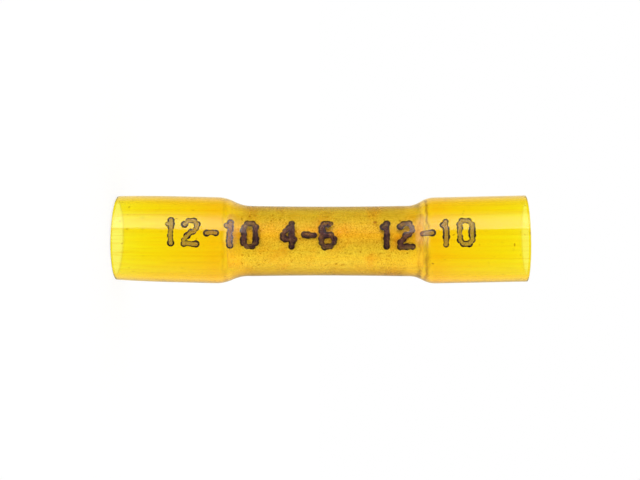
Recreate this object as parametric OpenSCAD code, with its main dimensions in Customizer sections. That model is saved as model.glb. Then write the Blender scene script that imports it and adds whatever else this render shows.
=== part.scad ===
// Heat-shrink butt connector: a plated crimp barrel inside a two-layer heat-shrink
// sleeve. The sleeve is shrunk down over the barrel as a neck and is left wide at both
// ends, where the wires go in. The part stands on its lower mouth with +Z along the
// barrel, and z = 0 is level with the lowest point of that mouth.

/* [Crimp barrel] */
// Outside diameter of the barrel
barrel_d = 5.5; // [5.2:0.1:5.8]
// Thickness of the barrel's wall
barrel_wall = 1.0; // [0.8:0.05:1.1]
// Length of the barrel
barrel_len = 19.8; // [18:0.1:20.5]
// Rounding-off of the barrel's outer end edges
barrel_edge = 0.35; // [0.1:0.05:0.5]
// Depth and width of the funnel at each end of the bore
funnel = 0.4; // [0.2:0.05:0.6]

/* [Wire stop] */
// Radius of the round punch that presses the wire stop
stop_pit_r = 1.0; // [0.8:0.05:1.2]
// Depth of the pressed pit below the barrel's surface
stop_depth = 1.4; // [1.1:0.05:1.6]
// Metal left over the tip of the punch
stop_skin = 0.9; // [0.6:0.05:1.0]

/* [Neck of the sleeve] */
// Radial play between the barrel and the liner
barrel_play = 0.02; // [0.01:0.01:0.05]
// Thickness of the liner along the neck
neck_liner = 0.38; // [0.3:0.02:0.46]
// Thickness of the outer jacket along the neck
neck_jacket = 0.4; // [0.3:0.02:0.46]
// How far the neck draws in at the middle of the barrel, on the radius
waist_in = 0.07; // [0.02:0.01:0.12]

/* [Lower flare] */
// Length of barrel below the neck, left bare by the lower flare
lower_bare = 2.4; // [1.4:0.1:3.4]
// Length of the lower flare along its own axis, shoulder and all
lower_len = 13.65; // [12:0.05:15]
// Length of the curved shoulder between the neck and the lower flare
lower_shoulder = 3.4; // [2.6:0.1:4]
// Outside diameter of the lower flare
lower_d = 8.73; // [8.5:0.01:9]
// How far the lower mouth draws in, on the radius
lip_in = 0.12; // [0.04:0.01:0.16]
// Length over which the lower mouth draws in
lip_len = 5.65; // [3:0.05:7]
// Angle by which the lower flare leans towards -X
lower_lean = 1.38; // [0.4:0.01:2.5]

/* [Upper flare] */
// Length of barrel above the neck, left bare by the upper flare
upper_bare = 1.8; // [1.4:0.1:3.4]
// Length of the upper flare along its own axis, shoulder and all
upper_len = 12.05; // [11:0.05:15]
// Length of the curved shoulder between the neck and the upper flare
upper_shoulder = 2.7; // [2.2:0.1:4]
// Outside diameter of the upper flare
upper_d = 8.67; // [8.5:0.01:9]
// Angle by which the upper flare leans towards -X
upper_lean = 1.25; // [0.4:0.01:2.5]

/* [Walls of the flares] */
// Wall of the outer jacket along the flares
flare_jacket = 0.33; // [0.25:0.01:0.4]
// Thickness of the liner along the flares
flare_liner = 0.285; // [0.2:0.005:0.35]

/* [Hidden] */
$fn = 96;

// Steps along each arc of an outline
arc_steps = 6;
// Straight run on either side of each bend, which lets the two tubes meet in a clean mitre
land = 0.15;
// How far a cutting shape runs past what it cuts
over = 1;
// Side of the blocks that cut the mitres
block = 60;

barrel_r = barrel_d / 2;
bore_r = barrel_r - barrel_wall;
half_barrel = barrel_len / 2;
punch_y = barrel_r - stop_depth + stop_pit_r;

// Reach of the neck from the middle of the barrel to each bend
lower_neck = half_barrel - lower_bare;
upper_neck = half_barrel - upper_bare;

lower_r = lower_d / 2;
upper_r = upper_d / 2;
lip_r = lower_r - lip_in;
flare_wall = flare_jacket + flare_liner;
liner_r = barrel_r + barrel_play;
bond_r = liner_r + neck_liner;

// Height of the barrel's middle above the lowest point of the lower mouth
middle_z = lower_neck + lower_len * cos(lower_lean) + lip_r * sin(lower_lean);

// Radii of a tube that is widened at both ends, in the order of the list:
// neck, how far its waist draws in, lower flare, how far its lip draws in, upper flare
outside = [bond_r + neck_jacket, waist_in, lower_r, lip_in, upper_r];
bond = [bond_r, waist_in, lower_r - flare_jacket, lip_in, upper_r - flare_jacket];
inside = [liner_r, 0, lower_r - flare_wall, 0, upper_r - flare_wall];

// Arc that leaves the level run at [r0, z0] smoothly and ends at [r1, z1]
function arc_from(r0, z0, r1, z1) =
    let (rise = r1 - r0, sweep = 2 * atan(rise / (z1 - z0)))
    rise == 0 ? [[r1, z1]] : [
        for (i = [1:arc_steps])
            let (a = sweep * i / arc_steps, bend = (z1 - z0) / sin(sweep))
            [r0 + bend * (1 - cos(a)), z0 + bend * sin(a)]
    ];

// The same arc drawn the other way round, so that it ends level at [r1, z1]
function arc_to(r0, z0, r1, z1) =
    let (back = arc_from(r1, z1, r0, z0))
    concat([for (i = [len(back) - 2:-1:0]) back[i]], [[r1, z1]]);

// S-shaped shoulder of two equal arcs, level at both ends
function shoulder(r0, r1, z0, z1) =
    let (rm = (r0 + r1) / 2, zm = (z0 + z1) / 2)
    concat([[r0, z0]], arc_from(r0, z0, rm, zm), arc_to(rm, zm, r1, z1));

// Outline of the neck, which runs a little past both bends
function neck_outline(r, waist) = concat(
    [[0, -lower_neck - land], [r, -lower_neck - land]],
    waist == 0 ? [] : concat(
        [[r, land - lower_neck]],
        arc_to(r, land - lower_neck, r - waist, 0),
        arc_from(r - waist, 0, r, upper_neck - land)
    ),
    [[r, upper_neck + land], [0, upper_neck + land]]
);

// Outline of a flare drawn upwards from its bend at z = 0
function flare_outline(neck, wide, lip, rise, length, past) = concat(
    [[0, -land], [neck, -land]],
    shoulder(neck, wide, land, land + rise),
    lip == 0 ? [] : concat(
        [[wide, length - lip_len]],
        arc_from(wide, length - lip_len, wide - lip, length)
    ),
    lip == 0 || past > 0 ? [[wide - lip, length + past]] : [],
    [[0, length + past]]
);

// Puts a flare's own space on the upper end of the neck, turned by the given lean
module at_upper_bend(lean) {
    translate([0, 0, upper_neck]) rotate([0, -lean, 0]) children();
}

// The same at the lower end of the neck, where the flare points down
module at_lower_bend(lean) {
    translate([0, 0, -lower_neck]) rotate([0, lean, 0]) mirror([0, 0, 1]) children();
}

// All the space beyond a bend's mitre
module far_side() {
    translate([-block / 2, -block / 2, 0]) cube(block);
}

// Solid form of one surface of the sleeve: a neck with a leaning flare mitred to each end
module bent_form(radii, past) {
    neck = radii[0];
    difference() {
        rotate_extrude() polygon(neck_outline(neck, radii[1]));
        at_upper_bend(upper_lean / 2) far_side();
        at_lower_bend(lower_lean / 2) far_side();
    }
    intersection() {
        at_lower_bend(lower_lean) rotate_extrude()
            polygon(flare_outline(neck, radii[2], radii[3], lower_shoulder, lower_len, past));
        at_lower_bend(lower_lean / 2) far_side();
    }
    intersection() {
        at_upper_bend(upper_lean) rotate_extrude()
            polygon(flare_outline(neck, radii[4], 0, upper_shoulder, upper_len, past));
        at_upper_bend(upper_lean / 2) far_side();
    }
}

// Outline of the barrel's wall, with its outer edges broken and its bore funnelled
function barrel_outline() = [
    [bore_r, -half_barrel + funnel],
    [bore_r + funnel, -half_barrel],
    [barrel_r - barrel_edge, -half_barrel],
    [barrel_r, -half_barrel + barrel_edge],
    [barrel_r, half_barrel - barrel_edge],
    [barrel_r - barrel_edge, half_barrel],
    [bore_r + funnel, half_barrel],
    [bore_r, half_barrel - funnel]
];

// Outer layer: clear yellow jacket, shrunk over the barrel and left wide at its mouths
module heat_shrink_sleeve() {
    color([0.98, 0.8, 0.08, 0.6]) translate([0, 0, middle_z]) difference() {
        bent_form(outside, 0);
        bent_form(bond, over);
    }
}

// Inner layer: hot-melt glue that lines the jacket from mouth to mouth
module adhesive_liner() {
    color([1, 0.88, 0.35, 0.6]) translate([0, 0, middle_z]) difference() {
        bent_form(bond, 0);
        bent_form(inside, over);
    }
}

// Ball about the centre of the punch, with its poles along the punch's stroke
module punch_ball(r) {
    translate([0, punch_y, 0]) rotate([90, 0, 0]) sphere(r);
}

// Tinned copper tube with a stop pressed into its middle from the +Y side
module crimp_barrel() {
    color([0.78, 0.78, 0.76]) translate([0, 0, middle_z]) difference() {
        union() {
            rotate_extrude() polygon(barrel_outline());
            intersection() {
                punch_ball(stop_pit_r + stop_skin);
                cylinder(h = half_barrel, r = bore_r + barrel_wall / 2, center = true);
            }
        }
        punch_ball(stop_pit_r);
    }
}

heat_shrink_sleeve();
adhesive_liner();
crimp_barrel();
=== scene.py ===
# %% [markdown]
# A heat-shrink butt connector joins two wires end to end. A plated barrel sits in the middle
# of a clear yellow sleeve, the sleeve is lined with glue, and both its ends stay wide open.
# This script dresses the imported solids: it loads them as a fixed frame, takes the barrel's
# size and place from them, makes a finer copy of each layer, prints the numbers on the sleeve,
# and lights it.

# %% Load the frame
import math
import random

import bpy
from mathutils import Matrix, Vector


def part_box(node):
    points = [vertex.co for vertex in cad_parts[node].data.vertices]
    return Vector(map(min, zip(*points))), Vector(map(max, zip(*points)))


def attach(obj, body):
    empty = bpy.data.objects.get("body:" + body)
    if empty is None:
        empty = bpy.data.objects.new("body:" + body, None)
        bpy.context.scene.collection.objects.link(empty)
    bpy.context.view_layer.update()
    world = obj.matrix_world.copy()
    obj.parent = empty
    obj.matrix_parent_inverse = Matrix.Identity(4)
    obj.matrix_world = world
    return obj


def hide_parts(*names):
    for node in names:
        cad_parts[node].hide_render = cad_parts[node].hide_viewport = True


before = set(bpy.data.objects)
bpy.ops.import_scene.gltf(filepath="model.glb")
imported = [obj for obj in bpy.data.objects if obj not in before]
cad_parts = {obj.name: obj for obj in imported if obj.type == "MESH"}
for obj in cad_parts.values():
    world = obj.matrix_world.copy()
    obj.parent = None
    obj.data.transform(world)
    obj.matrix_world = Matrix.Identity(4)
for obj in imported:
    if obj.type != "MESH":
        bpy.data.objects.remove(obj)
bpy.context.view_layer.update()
MM = 0.001

# %% [markdown]
# Every length below is in millimetres, as on a drawing, and only the last step of each piece
# turns it into metres. The barrel's size and its height over the floor come from the frame,
# so the dressed pieces land where the solids are. The rest are the sleeve's own sizes.

# %% Sizes
low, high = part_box("crimp_barrel")
barrel_r = (high.x - low.x) / 2 / MM
half_barrel = (high.z - low.z) / 2 / MM
middle_z = (high.z + low.z) / 2 / MM

barrel_wall, barrel_play = 1.0, 0.02
neck_liner, neck_jacket = 0.38, 0.4
flare_liner, flare_jacket = 0.285, 0.33
waist_in = 0.07
lower_bare, upper_bare = 2.4, 1.8
lower_neck, upper_neck = half_barrel - lower_bare, half_barrel - upper_bare
lower_len, upper_len = 13.65, 12.05
lower_shoulder, upper_shoulder = 3.4, 2.7
lower_r, upper_r = 8.73 / 2, 8.67 / 2
lip_in, lip_len = 0.12, 5.65
lower_lean, upper_lean = math.radians(1.38), math.radians(1.25)
land = 0.15
surface_wander = 0.012

liner_r = barrel_r + barrel_play
bond_r = liner_r + neck_liner
lower_end = lower_neck + lower_len
upper_end = upper_neck + upper_len
print("barrel radius", round(barrel_r, 3), "half length", round(half_barrel, 3))
print("middle of the barrel stands at", round(middle_z, 3), "mm")

# %% [markdown]
# Shapes and finishes are both made of nodes here. Wiring nodes by hand fills a page with
# boxes, so two small helpers let the rule be written as ordinary sums instead. A Wire stands
# for one output of a node, and a sum of wires adds the Math nodes it needs. A Bench holds the
# tree, and its method node adds any other node: settings first, then values or wires.

# %% Helpers that turn sums into nodes
class Wire:
    """One output of a node. A sum written with it becomes Math nodes."""

    def __init__(self, bench, socket):
        self.bench, self.socket = bench, socket

    def maths(self, operation, *values):
        return self.bench.maths(operation, self, *values)

    def other(self, name):
        """Another output of the same node."""
        return Wire(self.bench, self.socket.node.outputs[name])

    def clamp(self):
        return self.bench.node("ShaderNodeClamp", {}, {"Value": self})

    def rise(self, start, width):
        """0 up to start, and from there growing to 1 over width."""
        return ((self - start) / width).clamp()

    def __add__(self, value):
        return self.maths("ADD", value)

    def __radd__(self, value):
        return self.bench.maths("ADD", value, self)

    def __sub__(self, value):
        return self.maths("SUBTRACT", value)

    def __rsub__(self, value):
        return self.bench.maths("SUBTRACT", value, self)

    def __mul__(self, value):
        return self.maths("MULTIPLY", value)

    def __rmul__(self, value):
        return self.bench.maths("MULTIPLY", value, self)

    def __truediv__(self, value):
        return self.maths("DIVIDE", value)


class Bench:
    """A node tree under construction."""

    def __init__(self, tree):
        self.tree = tree

    def plug(self, place, value):
        """Links a wire, or each wire of a list, to an input, or sets its value."""
        if isinstance(value, list):
            for one in value:
                self.tree.links.new(one.socket, place)
        elif isinstance(value, Wire):
            self.tree.links.new(value.socket, place)
        else:
            place.default_value = value

    def node(self, kind, settings=None, sockets=None, out=0):
        """Adds one node: its settings first, then its sockets. Returns one of its outputs."""
        made = self.tree.nodes.new(kind)
        for name, value in (settings or {}).items():
            if name == "stops":
                fill_ramp(made.color_ramp, value)
            else:
                setattr(made, name, value)
        for name, value in (sockets or {}).items():
            self.plug(made.inputs[name], value)
        return None if out is None else Wire(self, made.outputs[out])

    def maths(self, operation, *values):
        return self.node("ShaderNodeMath", {"operation": operation}, dict(enumerate(values)))

    def xyz(self, x, y, z):
        return self.node("ShaderNodeCombineXYZ", {}, {"X": x, "Y": y, "Z": z})

    def times(self, place, factors):
        """A place with each of its numbers multiplied by its own factor."""
        return self.node("ShaderNodeVectorMath", {"operation": "MULTIPLY"}, {0: place, 1: factors})

    def scaled(self, place, factor):
        """A place with all its numbers multiplied by one factor."""
        return self.node("ShaderNodeVectorMath", {"operation": "SCALE"}, {0: place, "Scale": factor})

    def blend(self, factor, first, second, how="MIX"):
        """Mixes two colours."""
        return self.node(
            "ShaderNodeMix",
            {"data_type": "RGBA", "blend_type": how},
            {0: factor, 6: first, 7: second},
            out=2,
        )


def fill_ramp(ramp, stops):
    """Gives a colour ramp its stops, a list of (position, colour)."""
    while len(ramp.elements) < len(stops):
        ramp.elements.new(0.5)
    for element, (position, colour) in zip(ramp.elements, stops):
        element.position, element.color = position, (*colour, 1)


print("helpers ready")

# %% [markdown]
# The sleeve follows one rule, so all its surfaces can share it. Measured along its axis from
# the middle of the barrel, the tube is narrow over the barrel with a slight waist, swells in
# an S-shaped shoulder, and runs straight to its mouth. The lower mouth draws in a little. Both
# flares lean by about a degree, because nothing held them straight while they cooled.

# %% The rule that the sleeve follows
def half_and_reach(along):
    """1 above the middle of the barrel and 0 below it, and the distance from the middle."""
    return along.maths("GREATER_THAN", 0), along.maths("ABSOLUTE")


def by_side(up, below, above):
    """below for the lower half of the connector, above for the upper half."""
    return below + (above - below) * up


def radius_at(out, up, neck, waist, lower, lip, upper):
    """Radius of one surface at a distance out from the middle of the barrel."""
    bend = by_side(up, lower_neck, upper_neck)
    rise = (out - bend).rise(land, by_side(up, lower_shoulder, upper_shoulder))
    first = rise.maths("MINIMUM", 0.5)
    last = 1 - rise.maths("MAXIMUM", 0.5)
    swell = 0.5 + 2 * first * first - 2 * last * last
    reach = (out / bend).clamp()
    to_lip = out.rise(lower_end - lip_len, lip_len) * (1 - up)
    flare = by_side(up, lower, upper) - neck
    return neck - waist * (1 - reach * reach) + flare * swell - lip * to_lip * to_lip


bend_ease = 1.2


def point_at(out, up, turn, radius, lean=True):
    """Place, in millimetres, of a point round an axis that bends at both shoulders."""
    x, z = radius * turn.maths("COSINE"), out
    if lean:
        bend, lean = by_side(up, lower_neck, upper_neck), by_side(up, lower_lean, upper_lean)
        eased = ((out - bend) / bend_ease + 0.5).clamp()
        beyond = (out - bend - bend_ease / 2).maths("MAXIMUM", 0)
        past = bend_ease / 2 * eased * eased + beyond
        tilt = lean * eased
        z = out - past * (1 - lean.maths("COSINE")) + x * tilt.maths("SINE")
        x = x * tilt.maths("COSINE") - past * lean.maths("SINE")
    return x, radius * turn.maths("SINE"), middle_z + (2 * up - 1) * z


print("sleeve runs from", round(-lower_end, 2), "to", round(upper_end, 2), "mm along its axis")

# %% [markdown]
# Each layer is grown by Geometry Nodes from one flat grid. One direction of the grid wraps
# round the tube, and the other goes up the outside, over the rim, down the inside and back
# over the other rim. The sheet then meets itself in both directions, and Merge by Distance
# closes it without a seam. A lathe with Screw would do for one tube, but the rule above also
# bends the layers, and named inputs let one tree grow them all.

# %% Open, close and run a geometry tree
def open_tree(name, sizes):
    """A geometry tree with a named input for each size, and wires for those inputs."""
    tree = bpy.data.node_groups.new(name, "GeometryNodeTree")
    for way in ("INPUT", "OUTPUT"):
        tree.interface.new_socket("Geometry", in_out=way, socket_type="NodeSocketGeometry")
    for label, value in sizes.items():
        kind = "NodeSocketInt" if isinstance(value, int) else "NodeSocketFloat"
        tree.interface.new_socket(label, in_out="INPUT", socket_type=kind)
    bench = Bench(tree)
    entry = bench.node("NodeGroupInput")
    return bench, entry, {label: entry.other(label) for label in sizes}


weld_distance = 1e-6
rim_half = 0.49


def close_tree(bench, shape, x, y, z, material, rim_material=None):
    """Puts the points in place in metres, and ends the tree in one smooth mesh."""
    place = bench.scaled(bench.xyz(x, y, z), MM)
    shape = bench.node("GeometryNodeSetPosition", {}, {"Geometry": shape, "Position": place})
    shape = bench.node("GeometryNodeMergeByDistance", {}, {"Geometry": shape, "Distance": weld_distance})
    shape = bench.node("GeometryNodeSetShadeSmooth", {}, {"Geometry": shape})
    shape = bench.node("GeometryNodeRealizeInstances", {}, {"Geometry": shape})
    shape = bench.node("GeometryNodeSetMaterial", {}, {"Geometry": shape, "Material": material})
    if rim_material:
        inward = bench.node("GeometryNodeInputNamedAttribute", {}, {"Name": "inward"})
        on_rim = (inward - 0.5).maths("ABSOLUTE").maths("LESS_THAN", rim_half)
        parts = {"Geometry": shape, "Selection": on_rim, "Material": rim_material}
        shape = bench.node("GeometryNodeSetMaterial", {}, parts)
    bench.node("NodeGroupOutput", {}, {"Geometry": shape}, out=None)


def grow(name, tree, sizes, start=None):
    """Runs a geometry tree on a mesh and keeps what it grew as a plain piece."""
    piece = bpy.data.objects.new(name, start or bpy.data.meshes.new(name))
    bpy.context.scene.collection.objects.link(piece)
    grower = piece.modifiers.new("grower", "NODES")
    grower.node_group = tree
    for socket in tree.interface.items_tree:
        if socket.in_out == "INPUT" and socket.name in sizes:
            grower[socket.identifier] = sizes[socket.name]
    grown = piece.evaluated_get(bpy.context.evaluated_depsgraph_get())
    mesh = bpy.data.meshes.new_from_object(grown)
    piece.modifiers.remove(grower)
    piece.data = mesh
    mesh.name = name
    print(name, "has", len(mesh.polygons), "faces")
    return piece


# %% [markdown]
# This tree rolls the grid into a wall with an outer and an inner surface. A real cut edge is
# never quite sharp, so each rim is a flat arch a few hundredths of a millimetre high. Noise
# read from the place on the tube lets the wall wander by about a hundredth of a millimetre,
# which bends reflections the way blown and shrunk plastic does. It is the same noise for every
# layer, so that they stay together.

# %% A rolled wall
def rim_arch(part):
    """Height of a rim's arch, from 0 to 1, a part of the way across the wall."""
    return (part * math.pi).maths("SINE").maths("MAXIMUM", 0).maths("SQRT")


def roll_sheet(bench, size):
    """A flat grid, with wires for the turn, the run along the axis and the way inwards."""
    wall, rim = size["Steps along"], size["Steps over a rim"]
    section = 2 * (wall + rim)
    sheet = bench.node(
        "GeometryNodeMeshGrid",
        {},
        {"Size X": 1, "Size Y": 1, "Vertices X": size["Steps round"] + 1, "Vertices Y": section + 1},
    )
    across = bench.node("ShaderNodeSeparateXYZ", {}, {0: bench.node("GeometryNodeInputPosition")})
    step = (across.other("Y") + 0.5) * section
    turn = (across + 0.5) * (2 * math.pi)
    over, back = step.rise(wall, rim), (step - 2 * wall).rise(rim, rim)
    raised = (step / wall).clamp() - (step - wall).rise(rim, wall)
    low_end, high_end, edge = size["Low end"], size["High end"], size["Rim arch"]
    along = low_end + edge + (high_end - low_end - 2 * edge) * raised
    along = along + edge * (rim_arch(over) - rim_arch(back))
    inward = 0.5 - 0.5 * ((over - back) * math.pi).maths("COSINE")
    return sheet, turn, along, inward


noise_radius, noise_along = 4, 0.6
wander_noise = {"Scale": 0.22, "Detail": 2.0, "Roughness": 0.4}


def wander(bench, turn, along):
    """Noise from -1 to 1 that belongs to a place on the tube, whatever the layer."""
    x, y = turn.maths("COSINE") * noise_radius, turn.maths("SINE") * noise_radius
    spot = bench.xyz(x, y, along * noise_along)
    return (bench.node("ShaderNodeTexNoise", {}, {"Vector": spot, **wander_noise}) - 0.5) * 2


def keep(bench, shape, name, value):
    """Stores a number on every point, for the finish to read."""
    values = {"Geometry": shape, "Name": name, "Value": value}
    return bench.node("GeometryNodeStoreNamedAttribute", {}, values)


surfaces = ("Outer", "Inner")
zones = ("neck", "waist", "lower flare", "lip", "upper flare")
wall_steps = {"Steps round": 160, "Steps along": 190, "Steps over a rim": 8}


def wall_tree(name, sizes, material, rim_material):
    """A tube wall whose two surfaces follow the sleeve's rule."""
    bench, _, size = open_tree(name, sizes)
    sheet, turn, along, inward = roll_sheet(bench, size)
    up, out = half_and_reach(along)
    outer, inner = (
        radius_at(out, up, *(size[f"{surface} {zone}"] for zone in zones)) for surface in surfaces
    )
    radius = outer + (inner - outer) * inward + size["Wander"] * wander(bench, turn, along)
    sheet = keep(bench, sheet, "inward", inward)
    close_tree(bench, sheet, *point_at(out, up, turn, radius), material, rim_material)
    return bench.tree


def wall_sizes(outer, inner):
    """The named inputs of a wall: its two sets of radii, its ends and its steps."""
    sizes = {"Low end": -lower_end, "High end": upper_end, "Rim arch": 0.05}
    sizes.update({"Wander": surface_wander, **wall_steps})
    for surface, radii in zip(surfaces, (outer, inner)):
        sizes.update({f"{surface} {zone}": float(radius) for zone, radius in zip(zones, radii)})
    return sizes


print("a wall has", wall_steps["Steps round"], "steps round it")

# %% [markdown]
# A finish is a material whose detail comes from nodes too. Each one starts the same way: a
# Principled shader, and wires that read where a point lies on the object, in millimetres.

# %% Start a material
def finish(name, looks):
    """A new material: its bench, its Principled shader and the place in millimetres."""
    material = bpy.data.materials.new(name)
    material.use_nodes = True
    bench = Bench(material.node_tree)
    shader = bench.tree.nodes["Principled BSDF"]
    for socket, value in looks.items():
        shader.inputs[socket].default_value = value
    spot = bench.node("ShaderNodeTexCoord").other("Object")
    print("started the finish", name)
    return material, bench, shader, bench.scaled(spot, 1 / MM)


def stretched(bench, place, x, y, z):
    """Places read at another scale along each axis, so that a pattern runs longer one way."""
    return bench.times(place, (x, y, z))


def noise(bench, place, scale, detail=2.0, roughness=0.5):
    """Soft noise from 0 to 1, with about scale patches to a millimetre."""
    values = {"Vector": place, "Scale": scale, "Detail": detail, "Roughness": roughness}
    return bench.node("ShaderNodeTexNoise", {}, values)


def ramp(bench, factor, stops):
    """A colour for each value of factor."""
    return bench.node("ShaderNodeValToRGB", {"stops": stops}, {0: factor})


def relief(bench, height, depth):
    """A bump whose full height is depth millimetres."""
    values = {"Height": height, "Distance": depth * MM, "Strength": 1.0}
    return bench.node("ShaderNodeBump", {}, values)


# %% [markdown]
# The jacket is clear yellow plastic. What makes it yellow is the light that the plastic takes
# away, so it has a Volume Absorption: a longer way through the wall gives a deeper colour, as
# it does along the edges of the real one. The rest of the tint is on its faces, where it can
# change from place to place: streaks and fine scores along the tube from drawing it, cloudy
# patches, specks of dirt that were shrunk in, and two thin dark rings in each shoulder, which
# are painted shade where the barrel's ends show through, darkest in the upper shoulder. The face
# is matt where it was shrunk on to the barrel and glossy on the flares, so only the outer face
# has a coat, and the coat fades out along the barrel.

# %% Finish of the outer jacket
def attribute(bench, name):
    """A number that a geometry tree stored on the piece."""
    return bench.node("ShaderNodeAttribute", {"attribute_name": name}).other("Fac")


full_reach = 22


def by_length(bench, out, stops):
    """A colour for each distance, in millimetres, from the middle of the barrel."""
    return ramp(bench, out / full_reach, [(reach / full_reach, colour) for reach, colour in stops])


def streaks(bench, place):
    """Fine lines along the tube."""
    return noise(bench, stretched(bench, place, 2.2, 2.2, 0.04), 1.0, 4.0, 0.75)


neck_fades_at, neck_fades_over = 7.6, 2.2
upper_fades_over = 4


def along_barrel(bench, place):
    """1 on the neck and 0 on the flares, the distance from the middle, and 1 above the middle."""
    above = bench.node("ShaderNodeSeparateXYZ", {}, {0: place}).other("Z") - middle_z
    out = above.maths("ABSOLUTE")
    return 1 - out.rise(neck_fades_at, neck_fades_over), out, (above / upper_fades_over).clamp()


flare_gloss, neck_gloss = 0.62, 0.1
clear, barrel_end_shade, deep_barrel_end_shade = (1, 1, 1), (0.76, 0.66, 0.5), (0.62, 0.54, 0.4)
# Painted shade: two thin dark rings in each shoulder, where the barrel's ends show through.
barrel_end_shade_stops = [
    (9.2, clear),
    (9.3, barrel_end_shade),
    (9.42, clear),
    (9.93, clear),
    (10.05, deep_barrel_end_shade),
    (10.13, deep_barrel_end_shade),
    (10.28, clear),
]
taken_away = {"Color": (0.999, 0.9445, 0.03, 1), "Density": 1550.0}


def clear_plastic(name, looks, tint, rough, marks_and_shade, lines):
    """Clear yellow plastic that darkens with the way through it."""
    looks = {"Transmission Weight": 1.0, "IOR": 1.45, **looks}
    material, bench, shader, place = finish(name, looks)
    neck, out, upper = along_barrel(bench, place)
    drawn = streaks(bench, place)
    cloud = noise(bench, place, 0.45, 4.0, 0.6)
    grain = noise(bench, place, 6.5, 2.0, 0.7)
    colour = by_length(bench, out, tint)
    warm = ((cloud - 0.5) * 4).clamp() * marks_and_shade * neck
    colour = bench.blend(warm, colour, (1, 0.8, 0.5, 1))
    score = noise(bench, stretched(bench, place, 4.5, 4.5, 0.03), 1.0, 2.0)
    speck = noise(bench, place, 2.6, 0.0) + 0.05 * neck
    wavy = out + (noise(bench, place, 0.9, 3.0) - 0.5) * 1.1
    pitted = ramp(bench, grain, [(0.34, (0.6, 0.46, 0.15)), (0.52, clear)])
    lined = ramp(bench, drawn, [(0.38, (1, 0.9, 0.62)), (0.5, clear)])
    scored = ramp(bench, score, [(0.56, clear), (0.66, (0.95, 0.82, 0.5))])
    # Painted shade where the barrel's ends show through the wall, placed by distance along the tube.
    painted_barrel_end_shade = by_length(bench, wavy, barrel_end_shade_stops)
    dirt = ramp(bench, speck, [(0.82, clear), (0.88, (0.62, 0.45, 0.32))])
    for weight, marks in (
        (marks_and_shade * (0.06 + 0.94 * neck), pitted),
        (marks_and_shade, lined),
        (marks_and_shade * (1 - neck), scored),
        # painted shade at the barrel's ends, darkest in the upper shoulder
        (marks_and_shade * (0.35 + 0.9 * upper).clamp(), painted_barrel_end_shade),
        (1.0, dirt),
    ):
        colour = bench.blend(weight, colour, marks, "MULTIPLY")
    bench.plug(shader.inputs["Base Color"], colour)
    soft = noise(bench, place, 0.8, 2.0)
    face = relief(bench, drawn * 0.4 + soft * 0.4 + grain * neck * 0.5, lines)
    bench.plug(shader.inputs["Normal"], face)
    on_flare, on_neck = rough
    dullness = on_flare + (on_neck - on_flare) * neck
    bench.plug(shader.inputs["Roughness"], dullness * (0.8 + 0.4 * cloud))
    inside = bench.node("ShaderNodeVolumeAbsorption", {}, taken_away)
    bench.plug(bench.tree.nodes["Material Output"].inputs["Volume"], inside)
    if "Coat Roughness" in looks:
        outer_face = 1 - attribute(bench, "inward")
        gloss = flare_gloss + (neck_gloss - flare_gloss) * neck
        bench.plug(shader.inputs["Coat Weight"], outer_face * gloss)
    return material


no_gloss = {"Specular Tint": (0, 0, 0, 1)}
coated = {**no_gloss, "Coat Roughness": 0.05, "Coat IOR": 1.45}
jacket_tint = [
    (8.0, (1.0, 0.99, 0.74)),
    (10.5, (1.0, 0.99, 0.4)),
    (18.2, (1.0, 1.0, 0.36)),
    (20.7, (1.0, 1.0, 0.52)),
]
jacket_plastic = clear_plastic("jacket_plastic", coated, jacket_tint, (0.05, 0.26), 0.7, 0.012)

# %% [markdown]
# The liner is the same sort of plastic, but it is glue: it flowed when the sleeve was shrunk, so
# it is thickest and deepest in colour at the shoulders and pales towards the mouths. Where it
# meets the jacket no light may be lost, so its own gloss is turned off.

# %% Finish of the glue
liner_tint = [
    (0, (1.0, 0.98, 0.84)),
    (8.0, (1.0, 0.97, 0.82)),
    (11.0, (1.0, 0.835, 0.4)),
    (13.0, (1.0, 0.885, 0.4)),
    (17.0, (1.0, 0.94, 0.42)),
    (20.3, (1.0, 0.985, 0.58)),
]
liner_glue = clear_plastic("liner_glue", no_gloss, liner_tint, (0.1, 0.14), 0.3, 0.02)

# %% [markdown]
# A knife leaves the rims dull. A clear rim would also look black from above, because light
# that goes in there is caught in the wall. So both rims have a matt finish of their own, with
# the fine scratches of the cut running round them.

# %% Finish of the cut edges
cut_edge, bench, shader, place = finish("cut_edge", {"Specular IOR Level": 0.3})
scratch = noise(bench, stretched(bench, place, 1.0, 1.0, 9.0), 2.5, 3.0, 0.6)
straw = ramp(bench, scratch, [(0.35, (0.82, 0.7, 0.24)), (0.6, (0.96, 0.88, 0.44))])
bench.plug(shader.inputs["Base Color"], straw)
bench.plug(shader.inputs["Roughness"], 0.45 + 0.3 * scratch)
bench.plug(shader.inputs["Normal"], relief(bench, scratch, 0.015))

# %% [markdown]
# The outer jacket shrinks over the barrel when it is made, and keeps its full width at both
# mouths. The liner is the glue inside it. On the real part they are one wall, so the liner's
# copy reaches a hundredth of a millimetre into the jacket and no air shows between them.

# %% Jacket and liner
grip = 0.01
outside = (bond_r + neck_jacket, waist_in, lower_r, lip_in, upper_r)
bond = (bond_r, waist_in, lower_r - flare_jacket, lip_in, upper_r - flare_jacket)
flare_wall = flare_jacket + flare_liner
inside = (liner_r, 0, lower_r - flare_wall, 0, upper_r - flare_wall)
bond_out = tuple(radius + grip * (zone not in ("waist", "lip")) for radius, zone in zip(bond, zones))

jacket_sizes = wall_sizes(outside, bond)
jacket_wall = wall_tree("jacket wall", jacket_sizes, jacket_plastic, cut_edge)
jacket = grow("jacket", jacket_wall, jacket_sizes)
liner_sizes = wall_sizes(bond_out, inside)
liner_wall = wall_tree("liner wall", liner_sizes, liner_glue, cut_edge)
liner = grow("liner", liner_wall, liner_sizes)

# %% [markdown]
# The barrel is a plain copper tube with a thin coat of tin. Tin is dull white metal, never a
# mirror: it has a fine grain, faint drawing lines along it, and darker spots where it was
# handled. Its ends are broken so that wires slip in.

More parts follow.
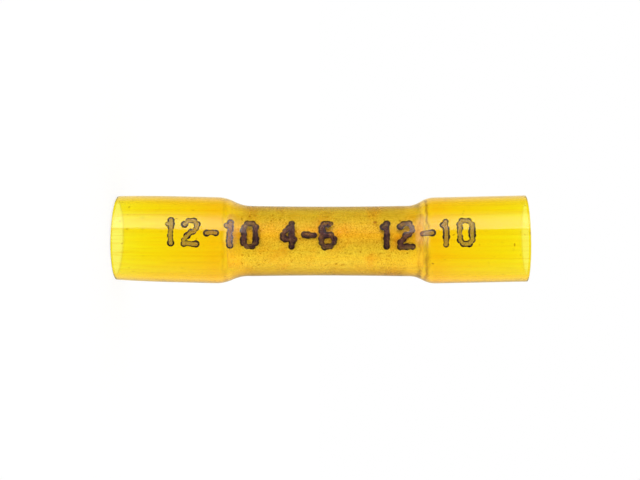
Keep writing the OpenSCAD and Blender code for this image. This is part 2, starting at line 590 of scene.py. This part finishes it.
# %% Finish of the barrel
tin_plate, bench, shader, place = finish("tin_plate", {"Metallic": 0.85})
grain = noise(bench, place, 5.0, 3.0, 0.7)
drawn = noise(bench, stretched(bench, place, 6.0, 6.0, 0.35), 1.0, 3.0, 0.6)
patch = noise(bench, place, 0.5, 3.0)
bright = ramp(bench, grain * 0.6 + drawn * 0.4, [(0.3, (0.72, 0.69, 0.65)), (0.62, (0.97, 0.95, 0.91))])
bench.plug(shader.inputs["Base Color"], bench.blend(patch * 0.3, bright, (0.75, 0.66, 0.55, 1)))
bench.plug(shader.inputs["Roughness"], 0.42 + 0.16 * grain)
bench.plug(shader.inputs["Normal"], relief(bench, grain * 0.5 + drawn * 0.5, 0.02))

# %% [markdown]
# The same rolled sheet makes the barrel. Its radii are plain numbers, and the wire stop is a
# pit pressed in from the far side: points near the punch move down its stroke, and the metal
# inside the bore bulges by nearly as much.

# %% Barrel
barrel_sizes = {
    "Outer radius": barrel_r,
    "Inner radius": barrel_r - barrel_wall,
    "Low end": -half_barrel,
    "High end": half_barrel,
    "Rim arch": 0.35,
    "Pit depth": 1.4,
    "Pit reach": 1.3,
    "Bulge height": 1.3,
    "Bulge reach": 1.8,
    "Steps round": 160,
    "Steps along": 150,
    "Steps over a rim": 12,
}
bench, _, size = open_tree("barrel wall", barrel_sizes)
sheet, turn, along, inward = roll_sheet(bench, size)
up, out = half_and_reach(along)
radius = size["Outer radius"] + (size["Inner radius"] - size["Outer radius"]) * inward
x, y, z = point_at(out, up, turn, radius, lean=False)
from_punch = (x * x + along * along).maths("SQRT")
reach = size["Pit reach"] + (size["Bulge reach"] - size["Pit reach"]) * inward
depth = size["Pit depth"] + (size["Bulge height"] - size["Pit depth"]) * inward
pressed = 0.5 + 0.5 * ((from_punch / reach).clamp() * math.pi).maths("COSINE")
y = y - depth * pressed * y.maths("GREATER_THAN", 0)
close_tree(bench, sheet, x, y, z, tin_plate)
barrel = grow("barrel", bench.tree, barrel_sizes)

# %% [markdown]
# Wire sizes are printed along such a sleeve by an ink jet that fires rows of dots. Each figure
# is a small table of dots here, and neighbouring dots are joined by lines, which gives a
# skeleton of the print, laid flat. Plain numbers stand in for the words of the real one.

# %% Skeleton of the print
figures = {
    "0": ("01110", "10001", "10001", "10001", "10001", "10001", "01110"),
    "1": ("00100", "01100", "00100", "00100", "00100", "00100", "00100"),
    "2": ("01110", "10001", "00001", "00110", "01000", "10000", "11111"),
    "4": ("00010", "00110", "01010", "10010", "11111", "00010", "00010"),
    "6": ("01110", "10000", "10000", "11110", "10001", "10001", "01110"),
    "-": ("00000", "00000", "00000", "01111", "00000", "00000", "00000"),
}
line_of_print = "12-10 4-6  12-10"
first_cell, cell_step = -15.18, 1.932
dot_along, dot_across = 0.3, 0.39
middle_column, middle_row = 2, 3
dot_shake, print_seed = 0.028, 12


def skeleton_of(text):
    """Points and lines of a row of figures, in millimetres, on a flat sheet."""
    shake = random.Random(print_seed)
    points, lines = [], []
    for cell, figure in enumerate(text):
        if figure == " ":
            continue
        lit = {}
        for row, dots in enumerate(figures[figure]):
            for column, dot in enumerate(dots):
                if dot == "1":
                    lit[column, row] = len(points)
                    x = first_cell + cell * cell_step + (column - middle_column) * dot_along
                    y = (middle_row - row) * dot_across
                    points.append((x + shake.gauss(0, dot_shake), y + shake.gauss(0, dot_shake), 0))
        for (column, row), start in lit.items():
            straight = [(column + 1, row), (column, row + 1)]
            slanted = [
                (column + side, row + 1)
                for side in (-1, 1)
                if (column + side, row) not in lit and (column, row + 1) not in lit
            ]
            lines += [(start, lit[other]) for other in straight + slanted if other in lit]
    mesh = bpy.data.meshes.new("print skeleton")
    mesh.from_pydata(points, lines, [])
    print("print has", len(points), "dots and", len(lines), "lines")
    return mesh


# %% [markdown]
# Ink that is fired at plastic dries thin in the middle of a stroke and dark along its rim. Over
# the barrel it soaks in and stays thick. It has half of the sleeve's gloss, and more over the
# shoulders, where the light catches it. The print is a thin closed shell, so a ray meets two
# faces of it, and the Alpha counts twice.

# %% Finish of the ink
ink_looks = {"Roughness": 0.45, "Specular IOR Level": 0.15, "Coat Roughness": 0.08, "Coat IOR": 1.45}
thin_ink, drying_ink = (0.13, 0.04, 0.06), (0.026, 0.009, 0.008)
dry_ink, thick_ink = (0.014, 0.006, 0.005), (0.016, 0.006, 0.005, 1)
ink, bench, shader, place = finish("ink", ink_looks)
blotch = noise(bench, place, 2.2, 3.0)
edge = attribute(bench, "from_middle") + (blotch - 0.5) * 0.5
dried = ramp(bench, edge, [(0.5, thin_ink), (0.66, drying_ink), (0.95, dry_ink)])
neck, out, _ = along_barrel(bench, place)
thick = neck * ((blotch - 0.3) * 3).clamp()
bench.plug(shader.inputs["Base Color"], bench.blend(thick * 0.85, dried, thick_ink))
film = ((edge - 0.45) * 4).clamp()
least_alpha, film_alpha, thick_alpha = 0.36, 0.56, 0.45
alpha = (least_alpha + film_alpha * film + thick_alpha * thick).clamp()
bench.plug(shader.inputs["Alpha"], alpha)
on_neck, on_shoulder, on_flare = [(gloss,) * 3 for gloss in (neck_gloss / 2, 1, flare_gloss / 2)]
print_gloss = [(7.5, on_neck), (8.4, on_shoulder), (10.1, on_shoulder), (10.6, on_flare)]
bench.plug(shader.inputs["Coat Weight"], by_length(bench, out, print_gloss))
bench.plug(shader.inputs["Normal"], relief(bench, noise(bench, place, 4.0, 2.0), 0.01))

# %% [markdown]
# The dots of ink beaded up and ran together into a stroke with bumpy sides. Points to Volume
# melts the dots and lines into one body, which is then pressed flat and wrapped round the
# sleeve by the same rule that made the jacket. Each point keeps how far it is from the middle
# of its stroke, for the finish above to read.

# %% Print
ink_sizes = {
    "Dot radius": 0.33,
    "Line radius": 0.215,
    "Line step": 0.06,
    "Voxel": 0.042,
    "Thickness": 0.024,
    "Turn to middle": math.radians(-100),
    "Wander": surface_wander,
}
bench, entry, size = open_tree("ink print", ink_sizes)
skeleton = entry.other("Geometry")
# Sockets 2 and 3 of Random Value are the least and the most of a plain number.
spread = {2: 0.78, 3: 1.18, "Seed": print_seed}
uneven = bench.node("FunctionNodeRandomValue", {"data_type": "FLOAT"}, spread, out=1)
round_dots = {"Mesh": skeleton, "Radius": size["Dot radius"] * uneven}
dots = bench.node("GeometryNodeMeshToPoints", {}, round_dots)
lines = bench.node("GeometryNodeMeshToCurve", {}, {"Mesh": skeleton})
even_steps = {"Curve": lines, "Length": size["Line step"]}
lines = bench.node("GeometryNodeResampleCurve", {"mode": "LENGTH"}, even_steps)
lines = bench.node("GeometryNodeCurveToPoints", {"mode": "EVALUATED"}, {"Curve": lines})
thin_lines = {"Points": lines, "Radius": size["Line radius"]}
lines = bench.node("GeometryNodeSetPointRadius", {}, thin_lines)
both = bench.node("GeometryNodeJoinGeometry", {}, {"Geometry": [dots, lines]})
by_voxel, voxel = {"resolution_mode": "VOXEL_SIZE"}, {"Voxel Size": size["Voxel"]}
balls = {"Points": both, "Radius": bench.node("GeometryNodeInputRadius"), **voxel}
melted = bench.node("GeometryNodePointsToVolume", by_voxel, balls)
body = bench.node("GeometryNodeVolumeToMesh", by_voxel, {"Volume": melted, **voxel})
along = bench.node("ShaderNodeSeparateXYZ", {}, {0: bench.node("GeometryNodeInputPosition")})
across, lifted = along.other("Y"), along.other("Z")
under = {"Geometry": skeleton, "Sample Position": bench.xyz(along, across, 0)}
near = bench.node("GeometryNodeProximity", {"target_element": "EDGES"}, under)
body = keep(bench, body, "from_middle", near.other("Distance") / size["Dot radius"])
up, out = half_and_reach(along)
sleeve = radius_at(out, up, *outside)
turn = size["Turn to middle"] - across / sleeve
height = lifted / size["Dot radius"] * 0.5 * size["Thickness"]
radius = sleeve + height + size["Wander"] * wander(bench, turn, along)
close_tree(bench, body, *point_at(out, up, turn, radius), ink)
ink_print = grow("ink_print", bench.tree, ink_sizes, skeleton_of(line_of_print))

# %% [markdown]
# Each piece rides on the frame's root body, and the solid it stands for is hidden.

# %% Put the pieces on the frame
for piece, node, slot in (
    (jacket, "heat_shrink_sleeve", "sleeve"),
    (liner, "adhesive_liner", "liner"),
    (barrel, "crimp_barrel", "barrel"),
):
    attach(piece, "root")
    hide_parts(node)
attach(ink_print, "root")

# %% [markdown]
# The photograph was taken from straight above the lying connector, so the camera looks along
# +Y, with +Z to its right and -X up. It stands a little nearer to the upper mouth. Its distance
# comes from the scale of the photo, and sizes that end in px were measured there in pixels.

# %% Camera
picture_px, sensor_width = 640, 36
px_per_mm, focal_px = 9.898, 1374.0
foot_px, barrel_px = 365.0, 326
distance, camera_x = focal_px / px_per_mm, -0.106
yaw = math.atan((foot_px - picture_px / 2) / focal_px)
right = Vector((0, math.sin(yaw), math.cos(yaw)))
up_way = Vector((-1, 0, 0))
back = right.cross(up_way)
camera = bpy.data.objects.new("camera", bpy.data.cameras.new("camera"))
camera.data.sensor_width = sensor_width
camera.data.lens = focal_px * sensor_width / picture_px
camera.data.clip_start, camera.data.clip_end = 0.005, 5
turned = Matrix((right, up_way, back)).transposed().to_4x4()
camera_z = middle_z + (foot_px - barrel_px) / px_per_mm
turned.translation = Vector((camera_x, -distance, camera_z)) * MM
camera.matrix_world = turned
bpy.context.scene.collection.objects.link(camera)
bpy.context.scene.camera = camera
bpy.context.scene.view_settings.view_transform = "Standard"
print("camera stands", round(distance, 1), "mm off, lens", round(camera.data.lens, 2))

# %% [markdown]
# The light is a white tent. The camera, and any ray that only passes through the clear
# plastic, sees plain white. A gloss on the outer face mirrors the tent as it is lit round the
# connector: dim where the camera stands, one long soft box beside it that draws the pale
# stripe along the sleeve, warmer sides, and a lamp beyond each end that catches the shoulders.
# Straight above and below it is an even grey. Light that was mirrored inside, by the barrel
# or by the glue's inner face, comes from all round and is more even.

# %% World
world = bpy.data.worlds.new("tent")
bpy.context.scene.world = world
world.use_nodes = True
world.cycles.sampling_method = "NONE"
bench = Bench(world.node_tree)
facing = bench.node("ShaderNodeSeparateXYZ", {}, {0: bench.node("ShaderNodeTexCoord")})
round_axis = bench.maths("ARCTAN2", facing * -1, facing.other("Y") * -1) / (2 * math.pi) + 0.5
outer_light = (
    (-180, (0.7, 0.6, 0.4)),
    (-120, (0.7, 0.6, 0.4)),
    (-92, 0.45),
    (-77, 0.4),
    (-64, 0.3),
    (-45, 0.1),
    (0, 0.06),
    (25, 0.1),
    (29, 4.6),
    (46, 5.0),
    (58, 3.2),
    (71, 0.8),
    (84, (0.5, 0.6, 0.05)),
    (118, (0.6, 0.55, 0.1)),
    (135, (1.0, 0.85, 0.5)),
    (180, (1.0, 0.9, 0.6)),
)
inner_light = (
    (-180, (1.13, 0.88, 1.4)),
    (-121, (1.15, 0.95, 2.0)),
    (-99, (1.55, 1.37, 3.4)),
    (-79, (1.65, 1.5, 3.6)),
    (-60, (1.5, 1.42, 2.8)),
    (-44, (1.15, 1.08, 1.7)),
    (-28, (1.0, 0.95, 1.3)),
    (0, (1.1, 0.86, 1.3)),
    (20, (1.42, 0.84, 1.0)),
    (35, (1.6, 0.98, 0.8)),
    (52, (1.5, 1.22, 0.8)),
    (69, (1.18, 1.05, 1.3)),
    (88, (0.98, 0.91, 1.5)),
    (110, (0.94, 0.86, 1.8)),
    (180, (1.03, 0.84, 2.0)),
)
side_lamps = (
    (-180, 0.6),
    (-25, 0.6),
    (5, (4.1, 3.9, 4.8)),
    (70, (4.5, 4.2, 5.0)),
    (95, 0.8),
    (180, 0.6),
)
brightest = 5.0
side_from, side_over = 0.42, 0.2
overhead_from, overhead_over = 0.78, 0.08
overhead_grey, plain_white = (0.45, 0.45, 0.45, 1), (1, 1, 1, 1)


def tent(light):
    """The colour of the tent at each angle round the connector."""
    colours = [(angle, level if isinstance(level, tuple) else (level,) * 3) for angle, level in light]
    stops = [(angle / 360 + 0.5, [part / brightest for part in colour]) for angle, colour in colours]
    return bench.times(ramp(bench, round_axis, stops), (brightest,) * 3)


steep = facing.other("Z").maths("ABSOLUTE")
aside, overhead = steep.rise(side_from, side_over), steep.rise(overhead_from, overhead_over)
lamps = bench.blend(aside, tent(outer_light), tent(side_lamps))
lamps = bench.blend(overhead, lamps, overhead_grey)
rays = bench.node("ShaderNodeLightPath")
passed = rays.other("Is Transmission Ray")
mirrored = rays.other("Glossy Depth").maths("GREATER_THAN", 0.5)
reflected = bench.blend(passed, lamps, tent(inner_light))
tent_colour = bench.blend(mirrored, plain_white, reflected)
bench.plug(bench.tree.nodes["Background"].inputs["Color"], tent_colour)
print("the tent is lit from", len(outer_light), "angles")

# %% [markdown]
# Filter Glossy makes every gloss dull once a ray has met a dull surface. That tames noise, but
# under clear plastic it swallows more than half of the barrel's light, so it is turned off.

# %% Filter Glossy
bpy.context.scene.cycles.blur_glossy = 0.0
print("Filter Glossy is", bpy.context.scene.cycles.blur_glossy)

# %% [markdown]
# A pale floor carries the connector. Part of its white is its own for rays that would see the
# backdrop, so it melts into the white around it, and the rest is lit and keeps the shadow.

# %% Floor
floor_reach = 0.6
own_white, floor_white = 0.8, (1.05, 1.05, 1.05, 1)
floor_looks = {"Roughness": 0.9, "Base Color": (0.85, 0.85, 0.85, 1), "Specular IOR Level": 0.0}
floor_mesh = bpy.data.meshes.new("floor")
corners = [(x * floor_reach, y * floor_reach, 0) for x, y in ((-1, -1), (1, -1), (1, 1), (-1, 1))]
floor_mesh.from_pydata(corners, [], [(0, 1, 2, 3)])
floor = bpy.data.objects.new("floor", floor_mesh)
bpy.context.scene.collection.objects.link(floor)
floor_paint, bench, shader, _ = finish("floor_paint", floor_looks)
rays = bench.node("ShaderNodeLightPath")
seen = (rays + rays.other("Is Transmission Ray")).clamp()
white = bench.node("ShaderNodeEmission", {}, {"Color": floor_white})
lit_paint = Wire(bench, shader.outputs[0])
floor_shader = bench.node("ShaderNodeMixShader", {}, {0: seen * own_white, 1: lit_paint, 2: white})
bench.plug(bench.tree.nodes["Material Output"].inputs["Surface"], floor_shader)
floor_mesh.materials.append(floor_paint)
floor.visible_glossy = floor.visible_transmission = False
print("floor laid,", 2 * floor_reach, "m wide")
